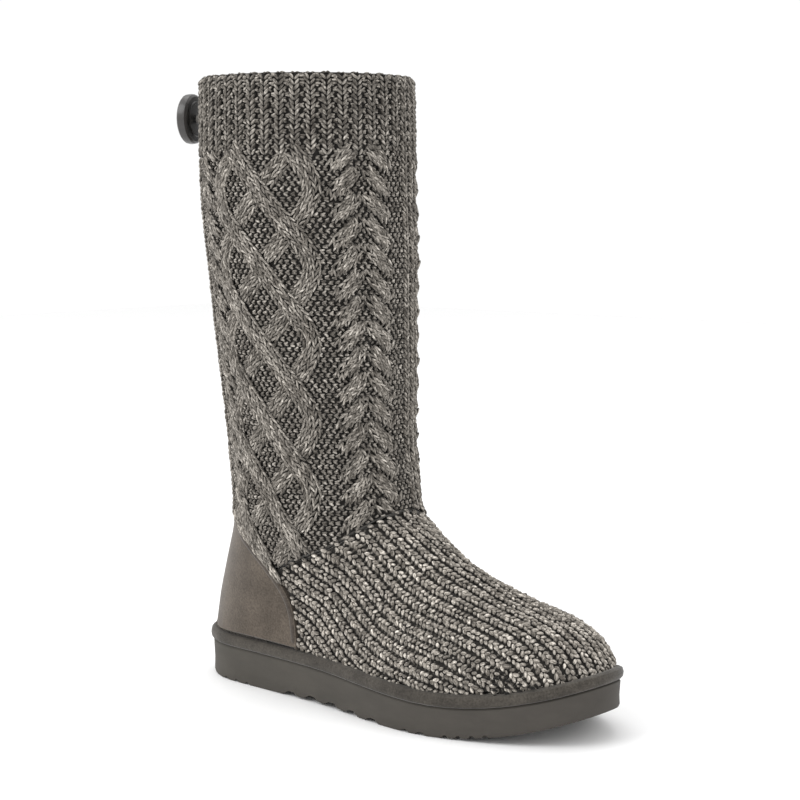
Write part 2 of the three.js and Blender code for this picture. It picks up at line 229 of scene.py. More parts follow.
# Place, sideways, upward and outward directions on the shaft at angles in degrees and heights in metres
def onShaft(degrees, height):
    a = np.asarray(degrees) / 360 * shaftMap["turns"]
    step = (shaftMap["high"] - shaftMap["low"]) / (shaftMap["levels"] - 1)
    b = (np.asarray(height) - shaftMap["low"]) / step
    place, across, up, out = (readAt(grid, a, b, True) for grid in shaftGrids)
    return place, unit(across), unit(up), unit(out)


# A column of places on the shaft, with the outward directions
def shaftPath(degrees, heights):
    place, _, _, out = onShaft(np.full(len(heights), degrees), heights)
    return place, out


# The vamp's ribs follow the instep's top line up to where it is steeper than backLean, then run on straight
vampMap = {
    "shinTop": 190 * mm, "shinLow": 126 * mm, "shinStep": -2 * mm,
    "startTurn": 78, "endTurn": -14, "turns": 240, "heart": (-19 * mm, 0, 60 * mm), "far": 0.3,
    "step": 2 * mm, "lineRounds": 6, "leanRounds": 12, "rounds": 2,
    "deepShare": 0.5, "reach": 150 * mm, "spread": 166, "rays": 120,
    "sides": 205 * mm, "grid": 1 * mm, "jump": 9 * mm, "lowest": 18 * mm,
    "backLean": 31.0, "toeLean": 50.0, "toeShare": 0.72,
}


# The top line of the foot in the middle plane, from the shin to the toe, at even steps
def ridgeLine():
    heart = np.array(vampMap["heart"])
    heights = np.arange(vampMap["shinTop"], vampMap["shinLow"], vampMap["shinStep"])
    raw = [rayFrom(upperTree, (shaftMap["ahead"], 0, z), (-1, 0, 0)) for z in heights]
    for turn in np.radians(np.linspace(vampMap["startTurn"], vampMap["endTurn"], vampMap["turns"])):
        aim = np.array((math.cos(turn), 0, math.sin(turn)))
        hit = rayFrom(upperTree, heart + vampMap["far"] * aim, -aim)
        if hit is not None and hit[2] < raw[-1][2]:
            raw.append(hit)
    raw = np.array(raw)
    length = lengthAlong(raw)
    line = readAlong(np.arange(0, length[-1], vampMap["step"]), length, raw)
    return smoothLine(line, vampMap["lineRounds"])


def readVamp():
    ridge = ridgeLine()
    run = unit(np.gradient(ridge, axis=0))
    lean = np.degrees(np.arctan2(-run[:, 2], run[:, 0]))
    bend = int(np.argmax(lean < vampMap["backLean"]))
    tilt = math.radians(vampMap["backLean"])
    shift = (ridge - ridge[bend]) @ np.array((math.sin(tilt), 0, math.cos(tilt)))
    shift[bend:] = 0
    lean[:bend] = vampMap["backLean"]
    steep = vampMap["toeLean"] + vampMap["toeShare"] * (lean - vampMap["toeLean"])
    lean = smoothLine(np.where(lean > vampMap["toeLean"], steep, lean), vampMap["leanRounds"])
    sides = np.arange(-vampMap["sides"], vampMap["sides"] + 1e-9, vampMap["grid"])
    place = np.zeros((len(ridge), len(sides), 3))
    valid = np.zeros((len(ridge), len(sides)), dtype=bool)
    for i, point in enumerate(ridge):
        tilt = math.radians(lean[i])
        out = np.array((math.sin(tilt), 0, math.cos(tilt)))
        heart = point - vampMap["deepShare"] * point[2] * out
        halves = {}
        for side in (-1, 1):
            arc = [point]
            for turn in np.radians(np.linspace(0, vampMap["spread"], vampMap["rays"] + 1))[1:]:
                aim = math.cos(turn) * out + side * math.sin(turn) * np.array((0, 1, 0))
                hit = outerHit(heart + vampMap["reach"] * aim, -aim, (out[2], 0, -out[0]))
                if hit is None or hit[2] < vampMap["lowest"]:
                    break
                if np.linalg.norm(hit - arc[-1]) > vampMap["jump"]:
                    break
                arc.append(hit)
            halves[side] = arc
        points = np.array(halves[-1][:0:-1] + halves[1])
        length = lengthAlong(points)
        length -= length[len(halves[-1]) - 1]
        place[i] = readAlong(sides, length, points)
        valid[i] = (sides > length[0]) & (sides < length[-1])
    place = softened(place, vampMap["rounds"], False)
    along = np.gradient(place, vampMap["step"], axis=0)
    across = np.gradient(place, vampMap["grid"], axis=1)
    return place, unit(np.cross(along, across)), valid, shift


vampGrids = readVamp()
print("vamp map read")


# Stitches
# A grain of yarn is a stretched and bowed ball, copied along lanes and turned as each lane runs.
def grainShape(segments, rings, look):
    clearSelection()
    bpy.ops.mesh.primitive_uv_sphere_add(segments=segments, ring_count=rings, radius=0.5)
    grain = bpy.context.object
    startEdit()
    bpy.ops.transform.rotate(value=math.pi / 2, orient_axis="X", center_override=(0, 0, 0))
    bpy.ops.transform.resize(value=look["leg"], center_override=(0, 0, 0))
    endEdit()
    points = pointsOf(grain)
    faces = [list(p.vertices) for p in grain.data.polygons]
    bpy.data.objects.remove(grain)
    share = 2 * points[:, 1] / look["leg"][1]
    points[:, 0] += look["bow"][0] * (1 - share ** 2)
    points[:, 2] += look["bow"][1] * (1 - share ** 2)
    return {"points": points, "faces": faces}


def newBatch():
    return {"place": [], "along": [], "right": [], "out": []}


# Adds grains: place and lane directions, offset to the right, yaw in the surface, dip of the far end
def addGrains(batch, place, along, right, out, offset=0.0, rise=0.0, yaw=0.0, dip=0.0):
    count = len(place)
    if count == 0:
        return
    offset, rise, yaw, dip = (np.broadcast_to(v, count)[:, None] for v in (offset, rise, yaw, dip))
    yaw, dip = np.radians(yaw), np.radians(dip)
    forward = along * np.cos(yaw) + right * np.sin(yaw)
    sideways = np.cross(forward, out)
    lifted = forward * np.cos(dip) - out * np.sin(dip)
    batch["place"].append(place + right * offset + out * rise)
    batch["along"].append(lifted)
    batch["right"].append(sideways)
    batch["out"].append(np.cross(sideways, lifted))


# Grains that point along a lane, and grains that lie across it
def addAlong(batch, lane, *offsetRiseYawDip):
    addGrains(batch, lane["place"], lane["along"], lane["right"], lane["out"], *offsetRiseYawDip)


def addAcross(batch, lane, rise):
    addGrains(batch, lane["place"], lane["right"], -lane["along"], lane["out"], 0, rise)


def addPiece(name, mesh, material):
    mesh.materials.append(material)
    piece = bpy.data.objects.new(name, mesh)
    bpy.context.collection.objects.link(piece)
    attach(piece, body)
    return piece


legJitter = {"turn": 0.07, "shift": 0.12 * mm, "size": 0.06}
fibreSpread = 500  # each grain is cut from its own place in the fibre pattern


def joinGrains(name, batch, grain, finish, jitter=legJitter):
    place, along, right, out = (np.concatenate(batch[k]) for k in ("place", "along", "right", "out"))
    count, size = len(place), len(grain["points"])
    swing = draw.normal(0, jitter["turn"], count)[:, None]
    forward = unit(along + right * swing)
    sideways = unit(np.cross(forward, out))
    place = place + draw.normal(0, jitter["shift"], (count, 3))
    shape = grain["points"][None] * draw.normal(1, jitter["size"], (count, 1, 1))
    points = (place[:, None] + sideways[:, None] * shape[..., :1] + forward[:, None] * shape[..., 1:2]
              + out[:, None] * shape[..., 2:])
    corners = np.concatenate(grain["faces"])
    sizes = np.array([len(f) for f in grain["faces"]])
    firsts = np.concatenate([[0], np.cumsum(sizes)[:-1]])
    loops = (corners[None] + size * np.arange(count)[:, None]).ravel()
    starts = (firsts[None] + len(corners) * np.arange(count)[:, None]).ravel()
    mesh = bpy.data.meshes.new(name)
    mesh.vertices.add(count * size)
    mesh.vertices.foreach_set("co", points.ravel())
    mesh.loops.add(len(loops))
    mesh.loops.foreach_set("vertex_index", loops)
    mesh.polygons.add(len(starts))
    mesh.polygons.foreach_set("loop_start", starts)
    mesh.update(calc_edges=True)
    mesh.validate()
    mesh.polygons.foreach_set("use_smooth", np.ones(len(mesh.polygons), dtype=bool))
    tone = np.repeat(draw.random(count), size)
    fibre = grain["points"][None] / mm + draw.uniform(-fibreSpread, fibreSpread, (count, 1, 3))
    height = grain["points"][:, 2]
    # depth is each point's height in its grain; the yarn uses it to paint shade on the grain's lower side
    depth = np.tile(height / np.abs(height).max(), count)
    mesh.attributes.new("tone", "FLOAT", "POINT").data.foreach_set("value", tone)
    mesh.attributes.new("depth", "FLOAT", "POINT").data.foreach_set("value", depth)
    mesh.attributes.new("fibre", "FLOAT_VECTOR", "POINT").data.foreach_set("vector", fibre.ravel())
    addPiece(name, mesh, finish)
    triangles = sum(len(p.vertices) - 2 for p in mesh.polygons)
    print(name, count, "grains", triangles, "triangles")


# Finishes
def newMaterial(name):
    material = bpy.data.materials.new(name)
    material.use_nodes = True
    tree = material.node_tree
    return material, tree, tree.nodes["Principled BSDF"]


def scaled(colour, gain):
    return tuple(gain * c for c in colour)


def noiseNode(tree, source, scale, detail=3.0, rough=0.6, stretch=None):
    noise = tree.nodes.new("ShaderNodeTexNoise")
    noise.inputs["Scale"].default_value = scale
    noise.inputs["Detail"].default_value = detail
    noise.inputs["Roughness"].default_value = rough
    if stretch:
        mapping = tree.nodes.new("ShaderNodeMapping")
        mapping.inputs["Scale"].default_value = stretch
        tree.links.new(source, mapping.inputs["Vector"])
        source = mapping.outputs["Vector"]
    tree.links.new(source, noise.inputs["Vector"])
    return noise.outputs["Fac"]


def rampNode(tree, source, stops):
    ramp = tree.nodes.new("ShaderNodeValToRGB")
    while len(ramp.color_ramp.elements) < len(stops):
        ramp.color_ramp.elements.new(0.5)
    for element, (place, colour) in zip(ramp.color_ramp.elements, stops):
        element.position = place
        element.color = (*colour, 1)
    tree.links.new(source, ramp.inputs["Fac"])
    return ramp.outputs["Color"]


def rangeNode(tree, source, low, high):
    spread = tree.nodes.new("ShaderNodeMapRange")
    spread.inputs["From Min"].default_value = low
    spread.inputs["From Max"].default_value = high
    tree.links.new(source, spread.inputs["Value"])
    return spread.outputs["Result"]


def mixNode(tree, kind, share, first, second):
    mix = tree.nodes.new("ShaderNodeMix")
    mix.data_type = "RGBA"
    mix.blend_type = kind
    for value, socket in ((share, "Factor"), (first, "A"), (second, "B")):
        target = next(s for s in mix.inputs if s.name == socket and s.enabled)
        if hasattr(value, "links"):
            tree.links.new(value, target)
        else:
            target.default_value = value if socket == "Factor" else (*value, 1)
    return next(s for s in mix.outputs if s.enabled)


# Links colour and relief to the shader, and sets the inputs that the look names
def finishShader(tree, shader, colour, relief, look):
    tree.links.new(colour, shader.inputs["Base Color"])
    for name, value in look.items():
        if name in shader.inputs:
            shader.inputs[name].default_value = value
    bump = tree.nodes.new("ShaderNodeBump")
    bump.inputs["Distance"].default_value, bump.inputs["Strength"].default_value = look["bump"]
    tree.links.new(relief, bump.inputs["Height"])
    tree.links.new(bump.outputs["Normal"], shader.inputs["Normal"])


def attributeNode(tree, name, output):
    node = tree.nodes.new("ShaderNodeAttribute")
    node.attribute_name = name
    return node.outputs[output]


def objectPlace(tree):
    return tree.nodes.new("ShaderNodeTexCoord").outputs["Object"]


# A plain material with one grain: its look gives a colour, stops of place and gain, noise and bump
def grainyMaterial(name, look):
    material, tree, shader = newMaterial(name)
    place = objectPlace(tree)
    grain = noiseNode(tree, place, *look["noise"])
    stops = [(spot, scaled(look["colour"], gain)) for spot, gain in look["stops"]]
    relief = noiseNode(tree, place, *look["relief"]) if "relief" in look else grain
    finishShader(tree, shader, rampNode(tree, grain, stops), relief, look)
    return material


yarnLook = {
    # shade is the painted shade colour at each grain's foot, where the stitches would shade each other
    "shade": (0.010, 0.009, 0.008), "deep": (0.066, 0.059, 0.050), "middle": (0.195, 0.179, 0.158),
    "light": (0.54, 0.505, 0.455), "stops": (0.34, 0.50, 0.66), "streak": (1.0, 4.0, 0.7, (1.2, 0.36, 1.2)),
    "grains": ((0.0, (0.50, 0.49, 0.48)), (1.0, (1.42, 1.42, 1.42))),
    "patch": 90, "patches": ((0.35, (0.86, 0.85, 0.84)), (0.65, (1.1, 1.1, 1.1))),
    "foot": -0.35, "top": 0.75,  # a grain fades from shade to its colour between these depths
    "bump": (0.35 * mm, 0.7),
    "Roughness": 0.95, "Sheen Weight": 0.08, "Sheen Roughness": 0.5, "Specular IOR Level": 0.2,
}


# Heather yarn: light and dark fibres run along each grain, and grains differ a little from each other; each
# grain's lower side is painted darker, down to the shade colour, as painted shade
def yarnMaterial(name, gain):
    material, tree, shader = newMaterial(name)
    streak = noiseNode(tree, attributeNode(tree, "fibre", "Vector"), *yarnLook["streak"])
    fibres = [scaled(yarnLook[key], gain) for key in ("deep", "middle", "light")]
    colour = rampNode(tree, streak, list(zip(yarnLook["stops"], fibres)))
    tone = rampNode(tree, attributeNode(tree, "tone", "Fac"), yarnLook["grains"])
    colour = mixNode(tree, "MULTIPLY", 1.0, colour, tone)
    patch = rampNode(tree, noiseNode(tree, objectPlace(tree), yarnLook["patch"]), yarnLook["patches"])
    colour = mixNode(tree, "MULTIPLY", 1.0, colour, patch)
    # Painted shade: the lower side of each grain fades to the shade colour
    depth = rangeNode(tree, attributeNode(tree, "depth", "Fac"), yarnLook["foot"], yarnLook["top"])
    colour = mixNode(tree, "MIX", depth, yarnLook["shade"], colour)
    finishShader(tree, shader, colour, streak, yarnLook)
    return material


yarn = yarnMaterial("heatherYarn", 1.0)
# Painted light: the vamp faces up towards the lamps, so its ribs get a brighter copy of the same yarn; the
# edge cord uses this copy too
litYarn = yarnMaterial("heatherYarnLit", 1.38)
groundYarn = yarnMaterial("heatherYarnGround", 0.9)
cuffYarn = yarnMaterial("heatherYarnCuff", 0.86)
print("yarn finishes ready")


# Lanes
# A lane is a resampled path over a surface: places with along, right and out directions at even spacing
def laneFrom(points, normals, pitch, start=0.5):
    length = lengthAlong(points)
    count = int(length[-1] / pitch - start) + 1
    if count < 1:
        return None
    spots = (np.arange(count) + start) * pitch
    along = unit(readAlong(spots, length, unit(np.gradient(points, axis=0))))
    out = readAlong(spots, length, normals)
    out = unit(out - along * np.sum(out * along, axis=1, keepdims=True))
    return {"place": readAlong(spots, length, points), "along": along, "out": out,
            "right": np.cross(along, out), "spots": spots, "length": length}


def keep(lane, mask):
    return {k: v if k == "length" else v[mask] for k, v in lane.items()}


def movedBy(lane, shift):
    return dict(lane, place=lane["place"] + shift)


nearSurface = 3 * mm


# True where a place lies on the named part, nearer to it than to the others by the margin
def onPart(place, part, margin=0.0):
    result = np.zeros(len(place), dtype=bool)
    for i, point in enumerate(place):
        own = partTrees[part].find_nearest(Vector(point))[3]
        rest = min(partTrees[name].find_nearest(Vector(point))[3] for name in upperParts if name != part)
        result[i] = own + margin < rest and own < nearSurface
    return result


# Raised strands
ribCount = 44
pattern = {
    "axis": 20.0,  # the pattern is mirrored about this direction
    "cuffLow": 302.5 * mm, "hem": 345.2 * mm, "low": 64 * mm,
    "ribTurn": 360 / ribCount, "panelRibs": (-1, 0, 1, *range(19, 26)),  # at the front and the back
}
strandLook = {
    "pitch": 3.7 * mm, "start": (0.2, 0.9), "rise": 0.55 * mm, "yaw": 15.0, "dip": 6.0,
    "leg": (1.65 * mm, 6.4 * mm, 1.8 * mm), "legShare": 0.255, "bow": (0, 0.25 * mm),
    "crown": 0.75 * mm, "crownSpan": 1.6,  # the outer legs lie lower by about the crown
    "underCuff": 1.5 * mm, "seam": 1.2 * mm, "tip": 2.6 * mm,  # a grain shows where both its tips do
}
strandGrain = grainShape(5, 4, strandLook)
strandPoints, ropePoints, ribPoints = [], [], []


def mirrored(degrees, side):
    return degrees if side > 0 else 2 * pattern["axis"] - degrees


# A raised strand of three columns of slanting stitches along a path, with its height over the ground
def addStrand(batch, degrees, heights, rise, hideBelow, gap, points):
    place, _, _, out = onShaft(degrees, heights)
    start = draw.uniform(*strandLook["start"])
    lane = laneFrom(place + out * rise[:, None], out, strandLook["pitch"], start)
    level = np.interp(lane["spots"], lane["length"], rise)
    inside = (lane["place"][:, 2] < pattern["cuffLow"] + strandLook["underCuff"]) & (level > hideBelow)
    lane, level = keep(lane, inside), level[inside]
    shown = onPart(lane["place"] - lane["out"] * level[:, None], "shaft", strandLook["seam"])
    lane, level = keep(lane, shown), level[shown]
    points.extend(lane["place"])
    reach = lane["along"] * strandLook["tip"]
    for column in (-1, 0, 1):
        moved = movedBy(lane, lane["along"] * (0.5 * strandLook["pitch"] * (column % 2)))
        for side in (-1, 1):
            offset = (column + side * strandLook["legShare"]) * gap
            crown = -strandLook["crown"] * (offset / gap) ** 2 / strandLook["crownSpan"]
            foot = moved["place"] + lane["right"] * offset - lane["out"] * level[:, None]
            whole = keep(moved, onPart(foot + reach, "shaft") & onPart(foot - reach, "shaft"))
            addAlong(batch, whole, offset, strandLook["rise"] + crown, -side * strandLook["yaw"],
                     strandLook["dip"])


ropeLook = {
    "ropes": ((-10.2, -1, 0.0), (-29.2, 1, 0.0), (-113.5, -1, 0.25)),  # centre, lean, phase
    "turn": 19.5, "swing": 0.27, "pitch": 28.0 * mm, "gap": 2.7 * mm,
    "rise": 1.6 * mm, "roundness": 0.6, "hidden": -0.35,  # hidden below this share of the rise
    "step": 0.7 * mm, "overrun": 6 * mm,
}


# Two strands that twist round each other
def addRope(batch, side, centre, lean, phase):
    heights = np.arange(pattern["low"], pattern["cuffLow"] + ropeLook["overrun"], ropeLook["step"])
    for strand in (0, 1):
        turn = 2 * math.pi * heights / ropeLook["pitch"] + math.pi * strand + 2 * math.pi * phase
        swing = -lean * side * ropeLook["swing"] * ropeLook["turn"] * np.cos(turn)
        level = ropeLook["rise"] * np.sign(np.sin(turn)) * np.abs(np.sin(turn)) ** ropeLook["roundness"]
        addStrand(batch, mirrored(centre, side) + swing, heights, level,
                  ropeLook["hidden"] * ropeLook["rise"], ropeLook["gap"], ropePoints)


# Levels count up from the lattice's top, one for each crossing, and widths are in columns
latticeLook = {
    "right": -56.8, "turn": 17.4, "top": 283.3 * mm, "level": 21.1 * mm, "levels": (1.2, -11.5, -0.05),
    "starts": (0, 2, 4, 6), "cycle": 8.0, "width": 2, "gap": 3.45 * mm,
    "drift": -8.5, "driftHeight": 150 * mm,  # the lattice leans by this much over this height
    "straight": 1.15, "bend": 0.85, "bow": 0.50,  # where a strand's turn starts, its length and its depth
    "over": 1.2 * mm, "overAll": 0.1 * mm, "under": -2.2 * mm, "underAll": 0.5 * mm, "underSpread": 0.2,
    "crossEnd": 1.75, "crossFade": 0.35, "hidden": -1.0 * mm,
}


def softTurn(value):
    size = np.abs(value)
    share = np.clip((size - latticeLook["straight"]) / latticeLook["bend"], 0, 1)
    rounded = latticeLook["straight"] + latticeLook["bow"] * np.sin(share * math.pi / 2)
    return np.sign(value) * np.where(size < latticeLook["straight"], size, rounded)


# Diagonal strands that zigzag between the outer columns; those that fall to the right lie on top
def addLattice(batch, side):
    look = latticeLook
    for first in look["starts"]:
        steps = np.arange(*look["levels"])
        phase = np.mod(steps - first, look["cycle"])
        falling = phase < look["cycle"] / 2
        wave = np.where(falling, look["width"] - phase, phase - look["cycle"] + look["width"])
        heights = look["top"] + steps * look["level"]
        drift = look["drift"] * (look["top"] - heights) / look["driftHeight"]
        degrees = look["right"] + (softTurn(wave) - 1) * look["turn"] + drift
        crossing = np.abs(np.mod(steps + 0.5, 1.0) - 0.5)  # nought at each crossing level
        inner = np.clip((look["crossEnd"] - np.abs(wave)) / look["crossFade"], 0, 1)
        over = look["over"] * inner + look["overAll"]
        under = look["under"] * np.exp(-(crossing / look["underSpread"]) ** 2) * inner + look["underAll"]
        rise = np.where(falling, over, under)
        order = np.argsort(heights)
        addStrand(batch, mirrored(degrees[order], side), heights[order], rise[order], look["hidden"],
                  look["gap"], strandPoints)


for side, word in ((1, "Outer"), (-1, "Inner")):
    lattice, ropes = newBatch(), newBatch()
    addLattice(lattice, side)
    for centre, lean, phase in ropeLook["ropes"]:
        addRope(ropes, side, centre, lean, phase)
    joinGrains("lattice" + word, lattice, strandGrain, yarn)
    joinGrains("ropes" + word, ropes, strandGrain, yarn)


# Cuff and ribs
ribLook = {
    "pitch": 2.65 * mm, "legShift": 1.45 * mm, "yaw": 34.0, "dip": 10.0, "rise": 0.45 * mm,
    "leg": (1.75 * mm, 4.6 * mm, 1.9 * mm), "bow": (0, 0.3 * mm), "step": 0.6 * mm, "seam": 0.9 * mm,
}
hemLook = {
    "round": 2.3 * mm, "turn": 0.95 * math.pi, "steps": 12, "depth": 6 * mm,
    "pitch": 1.9 * mm, "rise": 0.05 * mm, "leg": (1.7 * mm, 3.6 * mm, 1.7 * mm), "bow": (0, 0.2 * mm),
}
ribGrain = grainShape(6, 5, ribLook)


def ribDegrees(number):
    return pattern["axis"] + number * pattern["ribTurn"]


# A path up the outside of the cuff and over its rounded hem to the inner side
def hemPath(number, low):
    heights = np.arange(low, pattern["hem"] - hemLook["round"] + 1e-6, ribLook["step"])
    place, out = shaftPath(ribDegrees(number), heights)
    flat = out[-1] * np.array((1, 1, 0))
    flat = flat / np.linalg.norm(flat)
    turns = np.linspace(0, hemLook["turn"], hemLook["steps"])[1:]
    lean = np.array([math.cos(t) * flat + math.sin(t) * np.array((0, 0, 1)) for t in turns])
    arc = place[-1] - out[-1] * hemLook["round"] + hemLook["round"] * lean
    return np.concatenate([place, arc]), np.concatenate([out, lean])


def addRib(batch, lane):
    ribPoints.extend(lane["place"])
    for side in (-1, 1):
        addAlong(batch, lane, side * ribLook["legShift"], ribLook["rise"], side * ribLook["yaw"],
                 ribLook["dip"])


cuff, hem, panels = newBatch(), newBatch(), newBatch()
for k in range(ribCount):
    addRib(cuff, laneFrom(*hemPath(k, pattern["cuffLow"]), ribLook["pitch"]))
joinGrains("cuffRibs", cuff, ribGrain, cuffYarn)

# Grains across the hem, in the valleys between the cuff's ribs
for k in range(ribCount):
    valley = hemPath(k + 0.5, pattern["hem"] - hemLook["depth"])
    addAcross(hem, laneFrom(*valley, hemLook["pitch"]), hemLook["rise"])
joinGrains("hemValleys", hem, grainShape(5, 4, hemLook), cuffYarn)

panelHeights = np.arange(pattern["low"], pattern["cuffLow"], ribLook["step"])
for k in pattern["panelRibs"]:
    panelLane = laneFrom(*shaftPath(ribDegrees(k), panelHeights), ribLook["pitch"])
    addRib(panels, keep(panelLane, onPart(panelLane["place"], "shaft", ribLook["seam"])))
joinGrains("panelRibs", panels, ribGrain, yarn)


# Purl ground
groundLook = {
    "row": 2.8 * mm, "stitches": 94, "rise": -0.3 * mm, "wave": 0.55 * mm, "tilt": 9.0, "slant": 22.0,
    "leg": (1.7 * mm, 3.1 * mm, 1.8 * mm), "bow": (0.45 * mm, 0.2 * mm), "underHem": 1 * mm,
    "clearStrand": 4.2 * mm, "clearRope": 2.9 * mm, "clearRib": 2.2 * mm,
    "seamTop": 112 * mm, "seam": 0.6 * mm,  # rows below seamTop keep clear of the seams
}


def nearTree(points):
    tree = KDTree(len(points))
    for i, point in enumerate(points):
        tree.insert(Vector(point), i)
    tree.balance()
    return tree


# Reverse-side stitches: small bumps that curve up and down by turns along each row
def addGround():
    raised = [(nearTree(strandPoints), groundLook["clearStrand"]),
              (nearTree(ropePoints), groundLook["clearRope"]),
              (nearTree(ribPoints), groundLook["clearRib"])]
    halves = {"Outer": newBatch(), "Inner": newBatch()}
    numbers = np.arange(2 * groundLook["stitches"])
    side = np.where(numbers % 2, -1.0, 1.0)
    rows = np.arange(pattern["low"], pattern["hem"] - groundLook["underHem"], groundLook["row"])
    for j, height in enumerate(rows):
        degrees = (numbers + (j % 2)) * 360 / len(numbers)
        place, across, up, out = onShaft(degrees, height + side * groundLook["wave"])
        shown = np.array([all(tree.find(Vector(p))[2] > clear for tree, clear in raised) for p in place])
        if height < groundLook["seamTop"]:
            shown &= onPart(place, "shaft", groundLook["seam"])
        outer = np.mod(degrees - pattern["axis"], 360) > 180
        for word, mask in (("Outer", shown & outer), ("Inner", shown & ~outer)):
            flip = side[mask][:, None]
            yaw = flip[:, 0] * groundLook["slant"] + draw.normal(0, groundLook["tilt"], int(mask.sum()))
            addGrains(halves[word], place[mask], -flip * across[mask], flip * up[mask], out[mask], 0,
                      groundLook["rise"], yaw)
    grain = grainShape(5, 4, groundLook)
    for word, batch in halves.items():
        joinGrains("purl" + word, batch, grain, groundYarn)


addGround()


# Vamp ribs
vampLook = {
    "rib": 6.3 * mm, "ribs": (-8, 23), "pitch": 3.0 * mm, "legShift": 1.2 * mm, "stagger": 0.25,
    "yaw": 33.0, "dip": 10.0, "rise": -0.25 * mm,
    "leg": (2.3 * mm, 4.0 * mm, 2.2 * mm), "bow": (0, 0.3 * mm),
    "overWelt": -0.3 * mm, "merge": 0.55, "seam": 0.9 * mm, "fewest": 4,
}
furrowLook = {"rise": -1.9 * mm, "leg": (1.6 * mm, 3.2 * mm, 1.5 * mm), "bow": (0.3 * mm, 0.1 * mm)}
vampJitter = {"turn": 0.2, "shift": 0.2 * mm, "size": 0.1}
weltReach = {"away": 12 * mm, "high": 30 * mm}  # past these the welt hides nothing


# True where a place lies higher than the welt next to it by the clearance
def aboveWelt(place, clearance):
    result = np.zeros(len(place), dtype=bool)
    for i, point in enumerate(place):
        spot, _, _, distance = partTrees["welt_wrap"].find_nearest(Vector(point))
        beyond = distance > weltReach["away"] and point[2] > weltReach["high"]
        result[i] = beyond or point[2] > spot[2] + clearance
    return result


# The longest unbroken run of a rib, counted in ribs from the middle on one side
def vampPath(side, number):
    place, out, valid, shift = vampGrids
    away = number * vampLook["rib"] + shift
    spot = (side * away + vampMap["sides"]) / vampMap["grid"]
    inside = (spot >= 0) & (spot < valid.shape[1] - 1)
    inside &= (side == 0) | (away > vampLook["merge"] * vampLook["rib"])
    columns = np.clip(np.round(spot).astype(int), 0, valid.shape[1] - 1)
    good = np.where(inside & valid[np.arange(len(spot)), columns])[0]
    rows = max(np.split(good, np.where(np.diff(good) > 1)[0] + 1), key=len)
    if len(rows) < vampLook["fewest"]:
        return None
    path, normals = (readAt(grid, rows.astype(float), spot[rows], False) for grid in (place, out))
    return path[::-1], unit(normals)[::-1]


def vampLane(side, number):
    path = vampPath(side, number)
    lane = laneFrom(*path, vampLook["pitch"]) if path else None
    if not lane:
        return None
    shown = onPart(lane["place"], "vamp", vampLook["seam"]) & aboveWelt(lane["place"], vampLook["overWelt"])
    return keep(lane, shown)


def addVamp():
    halves = {"Outer": newBatch(), "Inner": newBatch()}
    furrows = newBatch()
    for side, number in [(0, 0)] + [(side, k) for side in (-1, 1) for k in range(*vampLook["ribs"])]:
        rib = vampLane(side, number)
        furrow = vampLane(side, number + 0.5) if side else None
        if rib:
            for leg in (-1, 1):
                moved = movedBy(rib, rib["along"] * (vampLook["pitch"] * vampLook["stagger"] * leg))
                addAlong(halves["Outer" if side < 0 else "Inner"], moved, leg * vampLook["legShift"],
                         vampLook["rise"], -leg * vampLook["yaw"], vampLook["dip"])
        if furrow:
            addAcross(furrows, furrow, furrowLook["rise"])
    vampGrain = grainShape(6, 5, vampLook)
    for word, batch in halves.items():
        joinGrains("vampRibs" + word, batch, vampGrain, litYarn, vampJitter)
    joinGrains("vampFurrows", furrows, grainShape(5, 4, furrowLook), groundYarn)


addVamp()


# Cloth under the stitches
# The outer cloth is painted nearly black: painted shade for the gaps between the stitches
gapShadeCloth = {"colour": (0.035, 0.032, 0.028), "stops": ((0.3, 0.45), (0.7, 1.0)),
               "noise": (700, 4.0, 0.7), "bump": (0.6 * mm, 0.8), "Roughness": 1.0}
liningCloth = {"colour": (0.16, 0.15, 0.135), "stops": ((0.3, 0.5), (0.62, 1.0), (0.8, 1.4)),
               "noise": (420, 5.0, 0.75), "bump": (0.8 * mm, 0.8), "Roughness": 0.98, "Sheen Weight": 0.3}
clothFit = {"sink": 1.3 * mm, "crown": 344.3 * mm, "lift": 0.4 * mm, "smooth": 40}


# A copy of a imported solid, merged into one skin at the origin
def copyNode(node, name):
    clearSelection()
    piece = nodes[node].copy()
    piece.data = nodes[node].data.copy()
    piece.name = name
    piece.parent = None
    bpy.context.collection.objects.link(piece)
    pick(piece)
    piece.data.materials.clear()
    startEdit()
    bpy.ops.mesh.remove_doubles(threshold=0.00001)
    bpy.ops.mesh.customdata_custom_splitnormals_clear()
    endEdit()
    return piece


gapShadeFinish = grainyMaterial("knitGroundPaintedShade", gapShadeCloth)
lining = grainyMaterial("liningJersey", liningCloth)


# The wall with lining inside, and with its outside below the crown sunk under the stitches
def makeCloth(node, name):
    piece = copyNode(node, name)
    # the outside takes the nearly black cloth, painted shade for the gaps between stitches
    piece.data.materials.append(gapShadeFinish)
    piece.data.materials.append(lining)
    for face in piece.data.polygons:
        start = np.array(face.center) + np.array(face.normal) * clothFit["lift"]
        blocked = upperTree.ray_cast(Vector(start), face.normal)[0] is not None
        face.material_index = 1 if blocked else 0
    pick(piece)
    startEdit("DESELECT")
    endEdit()
    for face in piece.data.polygons:
        face.select = face.material_index == 0 and face.center.z < clothFit["crown"]
    bpy.ops.object.mode_set(mode="EDIT")
    bpy.ops.transform.shrink_fatten(value=-clothFit["sink"])
    endEdit()
    bpy.ops.object.shade_smooth_by_angle(angle=math.radians(clothFit["smooth"]))
    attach(piece, body)
    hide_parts(node)


makeCloth("shaft", "shaftCloth")
makeCloth("vamp", "vampCloth")
print("cloth under the stitches made")


